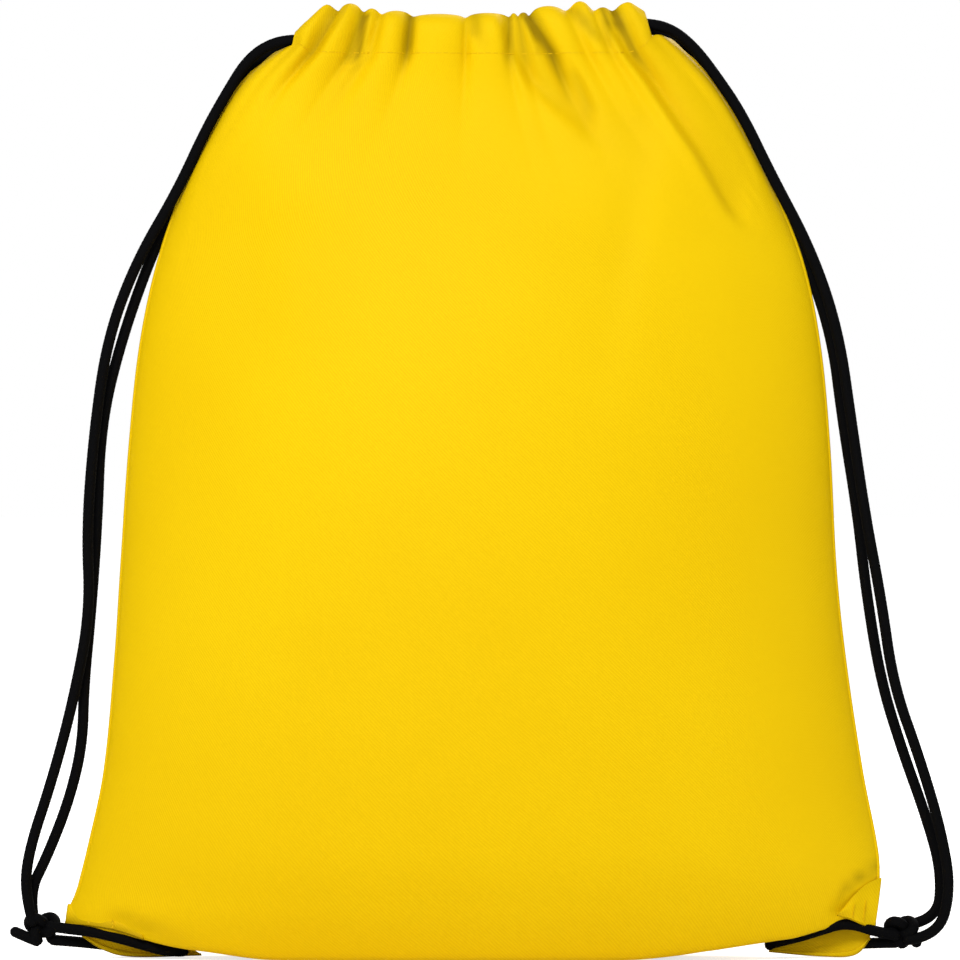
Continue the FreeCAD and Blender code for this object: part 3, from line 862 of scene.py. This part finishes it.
OUTER_ROWS = 9
for face in ("front", "back"):
    points = []
    cuts = []
    painted_shades = []
    for row in range(ROWS + 1):
        for column in range(COLUMNS + 1):
            points.append(tuple(panel_places[panel_index[face, row, column]]))
            # Each point keeps its painted shade from the settled panel.
            painted_shades.append(float(panel_painted_shades[panel_index[face, row, column]]))
            cuts.append(((column / COLUMNS - 0.5) * CUT_WIDE * MM, row / ROWS * CUT_LONG * MM))
    grid = [[row * (COLUMNS + 1) + column for column in range(COLUMNS + 1)]
            for row in range(ROWS + 1)]
    quads = [(grid[row][column], grid[row][column + 1], grid[row + 1][column + 1],
              grid[row + 1][column]) for row in range(ROWS) for column in range(COLUMNS)]
    below = {column: grid[ROWS][column] for column in HEM_COLUMNS}
    hem_rows = {column: hem_section(face, HEM_SHARES[column]) for column in HEM_COLUMNS}
    for k in range(1, OUTER_ROWS):
        here = {}
        for column in HEM_COLUMNS:
            here[column] = len(points)
            section, painted_shade_row = hem_rows[column]
            points.append(tuple(section[k]))
            # The hem's outer rows carry the painted shade of their section.
            painted_shades.append(painted_shade_row[min(k, len(painted_shade_row) - 1)])
            cuts.append(((column / COLUMNS - 0.5) * CUT_WIDE * MM, (CUT_LONG + 3.0 * k) * MM))
        quads += [(below[column], below[column + 1], here[column + 1], here[column])
                  for column in HEM_COLUMNS[:-1]]
        below = here
    if face == "back":
        quads = [tuple(reversed(quad)) for quad in quads]
    panel = cloth_piece(f"{face}_panel_cloth", points, quads, cuts, painted_shades)
    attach(panel, "bag")
    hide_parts(f"{face}_panel")

# ---------------------------------------------------------------------------
# The seams: both sides and the bottom are sewn face to face and turned, so each
# shows as a narrow rounded welt of doubled cloth where the two cuts meet.

WELT_WIDE = 0.95 * MM
WELT_THICK = 0.75 * MM


def welt(name, node, line, outwards):
    """A flattened roll of cloth along the line, closed at both ends."""
    line = np.array(line)
    around = 12
    angles = 2 * np.pi * np.arange(around) / around
    runs = np.concatenate([[0], np.cumsum(np.linalg.norm(np.diff(line, axis=0), axis=1))])
    tangents = np.gradient(line, axis=0)
    points = []
    cuts = []
    for place, tangent, run in zip(line, tangents, runs):
        tangent = tangent / np.linalg.norm(tangent)
        across = np.array(outwards) - tangent * np.dot(outwards, tangent)
        across /= np.linalg.norm(across)
        thick = np.cross(tangent, across)
        taper = math.sqrt(max(min(1.0, min(run, runs[-1] - run) / (2 * MM)), 0.05))
        for angle in angles:
            points.append(tuple(place + taper * (WELT_WIDE * math.cos(angle) * across
                                                 + WELT_THICK * math.sin(angle) * thick)))
            cuts.append((angle * WELT_WIDE, float(run)))
    faces = []
    for i in range(len(line) - 1):
        for j in range(around):
            k = (j + 1) % around
            faces.append((i * around + j, (i + 1) * around + j,
                          (i + 1) * around + k, i * around + k))
    faces.append(tuple(range(around)))
    faces.append(tuple(reversed(range((len(line) - 1) * around, len(line) * around))))
    roll = mesh_piece(name, points, faces, YELLOW_CLOTH)
    shape = bmesh.new()
    shape.from_mesh(roll.data)
    bmesh.ops.recalc_face_normals(shape, faces=shape.faces)
    shape.to_mesh(roll.data)
    shape.free()
    mark_cut(roll.data, cuts)
    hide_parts(node)
    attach(roll, "bag")


def seam_line(column):
    """The side seam from the corner's opening to the rim, set a little into the edge."""
    inwards = np.array([0.5 * MM if column == 0 else -0.5 * MM, 0, 0])
    return [panel_places[panel_index["front", row, column]] + inwards
            for row in range(BASE_ROWS + 5, ROWS)]


welt("left_side_welt", "left_side_seam", seam_line(0), (-1, 0, 0))
welt("right_side_welt", "right_side_seam", seam_line(COLUMNS), (1, 0, 0))
bottom_line = [panel_places[panel_index["front", 0, column]] + np.array([0, 0, 0.4 * MM])
               for column in range(2, COLUMNS - 1)]
welt("bottom_welt", "bottom_seam", bottom_line, (0, 1, 0))

# ---------------------------------------------------------------------------
# The hems: the top of each cut is turned in over the cords and sewn down to make
# a tunnel. The turned layer stops short of the ends, where the cords turn back.

INNER_ENDS = 50.0
for face in ("front", "back"):
    points = []
    cuts = []
    faces = []
    wide = 0
    for column in HEM_COLUMNS:
        s = HEM_SHARES[column]
        section = hem_section(face, s)[0][OUTER_ROWS - 1:]
        long = len(section)
        if abs(s * RIM_HALF) > INNER_ENDS:
            continue
        points += [tuple(point) for point in section]
        cuts += [(s * CUT_WIDE / 2 * MM, (CUT_LONG + 24.0 + 3.0 * k) * MM) for k in range(long)]
        wide += 1
    for i in range(wide - 1):
        for k in range(long - 1):
            a = i * long + k
            corners = (a, a + long, a + long + 1, a + 1)
            faces.append(tuple(reversed(corners)) if face == "back" else corners)
    hem = cloth_piece(f"{face}_hem_turning", points, faces, cuts)
    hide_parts(f"{face}_hem")
    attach(hem, "bag")

# ---------------------------------------------------------------------------
# The drawcords inside the hems: each runs through one tunnel, turns at the far
# end and comes back through the other. One lies above the other all the way.

TUNNEL_RUNS = {
    "left_tunnel_cord": [(-64, -11, 377.4), (-30, -11, 376.8), (10, -11, 376.8), (50, -11, 376.8),
                         (66, -11, 377), (70, -5, 377), (70, 5, 377), (66, 11, 377),
                         (50, 11, 376.8), (10, 11, 376.8), (-30, 11, 376.8), (-64, 11, 377.4)],
    "right_tunnel_cord": [(64, -11, 384.2), (54, -11, 382.6), (30, -11, 382), (-10, -11, 382),
                          (-48, -11, 382), (-60, -11, 382.5), (-64.5, -5, 383), (-64.5, 5, 383),
                          (-60, 11, 382.5), (-48, 11, 382), (-10, 11, 382), (30, 11, 382),
                          (54, 11, 382.6), (64, 11, 384.2)],
}
for name, route in TUNNEL_RUNS.items():
    run = braided_cord(name + "_run", route)[0]
    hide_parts(name)
    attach(run, "bag")

# ---------------------------------------------------------------------------
# The corners: both cords of a strap pass through an opening left in the bottom
# corner, between a front and a back tab, and are stopped there by a knot.

CORNER_RUNS = {
    "left_corner_loop": [(-176, -2.6, 13.6), (-166, -3.6, 12.2), (-157, -5, 11.4), (-146, -7, 9.0),
                         (-136, -7.5, 6.2), (-127, -6, 3.6), (-120, -2, 2.9), (-119, 4, 2.9),
                         (-125, 9, 3.0), (-140, 10, 3.4), (-155, 6.5, 5.4), (-165, 2, 6.8),
                         (-175, 0.5, 7.6)],
    "right_corner_loop": [(176, -2.6, 9.4), (166, -3.4, 11.0), (158, -5, 14.0), (151, -6.5, 14.6),
                          (144, -6.5, 12.4), (135, -5, 9.4), (125, -2, 6.8), (121, 4, 5.0),
                          (131, 9, 3.6), (146, 10.5, 4.0), (158, 6.5, 5.4), (166, 2, 6.2),
                          (176, 0.5, 6.4)],
}
for name, route in CORNER_RUNS.items():
    loop = braided_cord(name + "_cord", route)[0]
    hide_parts(name)
    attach(loop, "bag")


KNOT_POINTS = 17
KNOT_DEPTH = 1.52           # how far its turns stand apart, as a share of its size


def overhand(centre, size, turned, ends):
    """The line of an overhand knot pulled tight, from one end to the other."""
    route = [ends[0]]
    for k in range(KNOT_POINTS):
        t = math.radians(-152 + 304 * k / (KNOT_POINTS - 1) + turned)
        x = math.sin(t) + 2 * math.sin(2 * t)
        z = math.cos(t) - 2 * math.cos(2 * t)
        y = -math.sin(3 * t)
        route.append((centre[0] + size * x, centre[1] + KNOT_DEPTH * size * y,
                      centre[2] + size * z))
    route.append(ends[1])
    return route


KNOTS = {
    "left_knot": ("left_strap", (-177.5, 0, 12.5), 2.1, 20,
                  ((-173, 1.0, 6.0), (-190.5, -1.0, 11.8))),
    "right_knot": ("right_strap", (176.5, 0, 11.5), 1.9, -35,
                   ((171.5, -0.5, 13.5), (184.5, 1.5, 5.0))),
}
for name, (body, centre, size, turned, ends) in KNOTS.items():
    knot = braided_cord(name + "_tied", overhand(centre, size, turned, ends))[0]
    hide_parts(name)
    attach(knot, body)


TAB_ACROSS = 22
TAB_DOWN = 12


def tab_edge(edge, s):
    """The point of an edge that four points give, at a share of its length."""
    return np.array([smooth_between(s, [0, 0.33, 0.67, 1], [point[k] for point in edge])
                     for k in range(3)])


def flap(name, node, root, free, bow, painted_shade_ends, away):
    """A tab: cloth between its root and its free edge, with the edge turned back under."""
    points = []
    cuts = []
    rows = [k / TAB_DOWN for k in range(TAB_DOWN + 1)] + [1.012, 0.985, 0.93, 0.86]
    tucks = [0.0] * (TAB_DOWN + 1) + [0.5, 0.95, 1.1, 1.15]
    painted_shades = []
    for t, tuck in zip(rows, tucks):
        for i in range(TAB_ACROSS + 1):
            s = i / TAB_ACROSS
            top = tab_edge(root, s)
            place = top + (tab_edge(free, s) - top) * t
            place[1] += away * (bow * math.sin(math.pi * min(t, 1.0)) - tuck)
            place[1] += away * 0.5 * math.sin(9.0 * s + 4.0 * t) * min(t, 1.0)
            points.append(tuple(place * MM))
            cuts.append((float(top[0] + 0.3 * t) * MM, float(place[2]) * MM))
            # Painted shade, darkest at the root or at the free edge as the tab's two values say.
            painted_shades.append(painted_shade_ends[0] * max(1.0 - t, 0.0) ** 2 + painted_shade_ends[1] * t ** 2)
    faces = []
    for j in range(len(rows) - 1):
        for i in range(TAB_ACROSS):
            corner = j * (TAB_ACROSS + 1) + i
            corners = [corner, corner + 1, corner + TAB_ACROSS + 2, corner + TAB_ACROSS + 1]
            flat = np.cross(np.array(points[corners[1]]) - np.array(points[corners[0]]),
                            np.array(points[corners[3]]) - np.array(points[corners[0]]))
            if (flat[1] * away < 0) == (j < TAB_DOWN):
                corners.reverse()
            faces.append(corners)
    tab = cloth_piece(name, points, faces, cuts, painted_shades)
    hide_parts(node)
    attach(tab, "bag")
    return np.array(points).reshape(len(rows), TAB_ACROSS + 1, 3)


# Node, side of the bag, how far it bows out, how much painted shade darkens its root and its
# free edge, then four points along the root and four along the free edge.
TABS = [
    ("left_front_tab", -1, 0.4, (0.0, 0.65),
     [(-167, 0.0, 22.5), (-157, -3.5, 21.5), (-147, -7, 19), (-137, -9, 15)],
     [(-168, -1.6, 14.4), (-157, -6.4, 14.0), (-146, -9.6, 12.2), (-135, -12, 8.8)]),
    ("right_front_tab", -1, 1.4, (0.25, 0.1),
     [(168.4, -1.0, 33.5), (162, -4.6, 31), (156.5, -8.2, 26.5), (150.5, -11, 20)],
     [(165.5, -4.0, 12.8), (160, -7.0, 14.8), (155, -9.5, 17.0), (149.5, -12, 18.8)]),
    ("left_back_tab", 1, 0.8, (0.6, 0.1),
     [(-164, 0.5, 14.5), (-150, 1.0, 13), (-136, 1.5, 9.5), (-118, 2, 5)],
     [(-161, 0.8, 9.4), (-152, 1.4, 3.6), (-140, 2.0, 0.9), (-112, 2.5, 1.4)]),
    ("right_back_tab", 1, 0.8, (0.75, 0.1),
     [(165, 0.5, 14.5), (152, 1.0, 13), (140, 1.5, 10), (124, 2, 5)],
     [(163.5, 0.8, 8.2), (157, 1.4, 1.5), (143, 2.0, 1.1), (122, 2.5, 2.8)]),
]
TAB_GRIDS = {}
for node, away, bow, painted_shade_ends, root, free in TABS:
    TAB_GRIDS[node] = flap(node + "_cloth", node, root, free, bow, painted_shade_ends, away), away

# ---------------------------------------------------------------------------
# The sewing: yellow polyester thread. A lockstitch holds each hem's tunnel shut,
# and a dense zigzag bartack beside the cord stops each corner from tearing.

STITCH_PITCH = 2.9 * MM
STITCH_LONG = 2.3 * MM
THREAD_RADIUS = 0.16 * MM
STITCHED_HALF = 74.5        # how far out along the rim the lockstitch goes
STITCH_SUNK = 0.03 * MM
BARTACK_STEP = 0.8 * MM
BARTACK_HALF = 0.45 * MM
BARTACK_TURNS = 16


def thread_material():
    material, tree, shader = new_material("yellow_thread", 0.12)
    place = linked(tree, "ShaderNodeTexCoord")
    twist = linked(tree, "ShaderNodeTexWave", settings={"bands_direction": "DIAGONAL"},
                   values={"Scale": 900.0, "Distortion": 1.0}, Vector=place.outputs["Object"])
    fuzz = linked(tree, "ShaderNodeTexNoise", values={"Scale": 1500.0},
                  Vector=place.outputs["Object"])
    mixed = weighted(tree, (twist.outputs["Fac"], 0.6), (fuzz.outputs["Fac"], 0.4))
    yellow = toned(tree, mixed, (0.76, 0.48, 0.0), (0.87, 0.59, 0.002))
    surface(tree, shader, yellow, mixed, (0.4, 0.6), mixed, 0.4, 0.00005)
    return material


YELLOW_THREAD = thread_material()


def stitching_tree():
    """Tapered stitches set along a line of edges, each lying in the line's direction."""
    tree = bpy.data.node_groups.new("stitching", "GeometryNodeTree")
    tree.interface.new_socket("Geometry", in_out="INPUT", socket_type="NodeSocketGeometry")
    for name in ("Pitch", "Stitch Length", "Thread Radius"):
        tree.interface.new_socket(name, in_out="INPUT", socket_type="NodeSocketFloat")
    tree.interface.new_socket("Thread", in_out="INPUT", socket_type="NodeSocketMaterial")
    tree.interface.new_socket("Geometry", in_out="OUTPUT", socket_type="NodeSocketGeometry")
    given = tree.nodes.new("NodeGroupInput")
    made = tree.nodes.new("NodeGroupOutput")
    line = linked(tree, "GeometryNodeMeshToCurve", Mesh=given.outputs["Geometry"])
    places = linked(tree, "GeometryNodeCurveToPoints", settings={"mode": "LENGTH"},
                    Curve=line.outputs["Curve"], Length=given.outputs["Pitch"])
    half = math_node(tree, "MULTIPLY", given.outputs["Stitch Length"], 0.5)
    back = math_node(tree, "MULTIPLY", half, -1.0)
    start = linked(tree, "ShaderNodeCombineXYZ", Z=back)
    end = linked(tree, "ShaderNodeCombineXYZ", Z=half)
    stitch = linked(tree, "GeometryNodeCurvePrimitiveLine", Start=start.outputs[0],
                    End=end.outputs[0])
    stitch = linked(tree, "GeometryNodeResampleCurve", values={"Count": 6},
                    Curve=stitch.outputs["Curve"])
    along = tree.nodes.new("GeometryNodeSplineParameter")
    swell = math_node(tree, "SINE", math_node(
        tree, "ADD", math_node(tree, "MULTIPLY", along.outputs["Factor"], 2.5), 0.32))
    ring = linked(tree, "GeometryNodeCurvePrimitiveCircle", values={"Resolution": 7},
                  Radius=given.outputs["Thread Radius"])
    stitch = linked(tree, "GeometryNodeSetCurveRadius", Curve=stitch.outputs["Curve"], Radius=swell)
    tube = linked(tree, "GeometryNodeCurveToMesh", values={"Fill Caps": True},
                  Curve=stitch.outputs["Curve"], Profile_Curve=ring.outputs["Curve"])
    uneven = linked(tree, "FunctionNodeRandomValue", settings={"data_type": "FLOAT"})
    uneven.inputs[2].default_value = 0.88
    uneven.inputs[3].default_value = 1.06
    uneven.inputs["Seed"].default_value = 7
    row = linked(tree, "GeometryNodeInstanceOnPoints", Points=places.outputs["Points"],
                 Instance=tube.outputs["Mesh"], Rotation=places.outputs["Rotation"],
                 Scale=uneven.outputs[1])
    real = linked(tree, "GeometryNodeRealizeInstances", Geometry=row.outputs["Instances"])
    sewn = linked(tree, "GeometryNodeSetMaterial", Geometry=real.outputs["Geometry"],
                  Material=given.outputs["Thread"])
    tree.links.new(sewn.outputs["Geometry"], made.inputs["Geometry"])
    return tree


STITCHING = stitching_tree()


def sew(name, node, lines, pitch, stitch_long):
    """Thread along the lines of points, made with the stitching tree and turned into a mesh."""
    points = [tuple(point) for line in lines for point in line]
    edges = []
    first = 0
    for line in lines:
        edges += [(first + i, first + i + 1) for i in range(len(line) - 1)]
        first += len(line)
    path = bpy.data.meshes.new(name + "_path")
    path.from_pydata(points, edges, [])
    holder = bpy.data.objects.new(name + "_path", path)
    scene.collection.objects.link(holder)
    sewing = holder.modifiers.new("stitching", "NODES")
    sewing.node_group = STITCHING
    wanted = {"Pitch": pitch, "Stitch Length": stitch_long, "Thread Radius": THREAD_RADIUS,
              "Thread": YELLOW_THREAD}
    for item in STITCHING.interface.items_tree:
        if item.in_out == "INPUT" and item.name in wanted:
            sewing[item.identifier] = wanted[item.name]
    bpy.context.view_layer.update()
    mesh = bpy.data.meshes.new_from_object(
        holder.evaluated_get(bpy.context.evaluated_depsgraph_get()))
    bpy.data.objects.remove(holder)
    bpy.data.meshes.remove(path)
    mesh.name = name
    mesh.polygons.foreach_set("use_smooth", [True] * len(mesh.polygons))
    thread = bpy.data.objects.new(name, mesh)
    scene.collection.objects.link(thread)
    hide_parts(node)
    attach(thread, "bag")


for face in ("front", "back"):
    side = -1 if face == "front" else 1
    line = []
    for k in range(COLUMNS * 2 + 1):
        s = 1.0 * k / COLUMNS - 1.0
        if abs(s * RIM_HALF) <= STITCHED_HALF:
            section = hem_section(face, s)[0]
            line.append((section[0] + section[1]) / 2 + np.array([0, -side * STITCH_SUNK, 0]))
    sew(f"{face}_hem_lockstitch", f"{face}_hem_stitching", [line], STITCH_PITCH, STITCH_LONG)

# Two bartacks on each tab run from its middle to near its free edge.
bartacks = []
for node, (grid, away) in TAB_GRIDS.items():
    swing = BARTACK_HALF / np.linalg.norm(grid[0, -1] - grid[0, 0])
    for share in (0.30, 0.62):
        line = []
        for k in range(BARTACK_TURNS + 1):
            column = (share + (swing if k % 2 else -swing)) * TAB_ACROSS
            row = (0.42 + 0.5 * k / BARTACK_TURNS) * TAB_DOWN
            i, j = int(column), int(row)
            place = (grid[j, i] * (1 - column + i) + grid[j, i + 1] * (column - i)) * (1 - row + j)
            below = grid[j + 1, i] * (1 - column + i) + grid[j + 1, i + 1] * (column - i)
            place = place + below * (row - j)
            line.append(place + np.array([0, away * 0.2 * MM, 0]))
        line[0] = (line[0] + line[1]) / 2
        bartacks.append(line)
sew("corner_bartack_thread", "corner_bartacks", bartacks, BARTACK_STEP, BARTACK_STEP)
